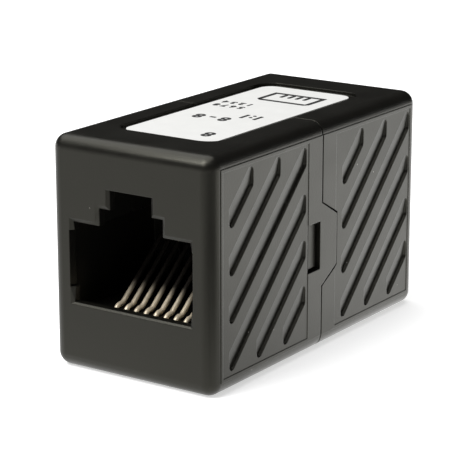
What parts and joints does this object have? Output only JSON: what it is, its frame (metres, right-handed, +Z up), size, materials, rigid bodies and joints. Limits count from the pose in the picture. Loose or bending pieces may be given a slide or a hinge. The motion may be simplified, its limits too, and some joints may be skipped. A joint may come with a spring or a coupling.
{
  "type": "rj45 inline coupler",
  "caption": "Small black coupler box with an RJ45 socket at each end, slanted grip recesses on both sides and a plain paper label on top.",
  "frame": {"origin": "middle of the flat base, where the two half cases meet", "axes": "+Z up; -Y out of the front socket, +Y out of the rear socket, the longest way; +X across the case, the shortest way"},
  "size_m": [0.0164, 0.0326, 0.02],
  "materials": {
    "shell": "fine satin moulded black",
    "insert": "moulded black",
    "board": "green solder mask over glass fibre",
    "contact": "gold plated",
    "label": "white paper, plain"
  },
  "bodies": {
    "root": {"front_shell": "shell", "rear_shell": "shell", "label": "label", "front_contact_block": "insert", "rear_contact_block": "insert", "circuit_board": "board", "front_contact_1": "contact", "front_contact_2": "contact", "front_contact_3": "contact", "front_contact_4": "contact", "front_contact_5": "contact", "front_contact_6": "contact", "front_contact_7": "contact", "front_contact_8": "contact", "rear_contact_1": "contact", "rear_contact_2": "contact", "rear_contact_3": "contact", "rear_contact_4": "contact", "rear_contact_5": "contact", "rear_contact_6": "contact", "rear_contact_7": "contact", "rear_contact_8": "contact"}
  },
  "joints": []
}
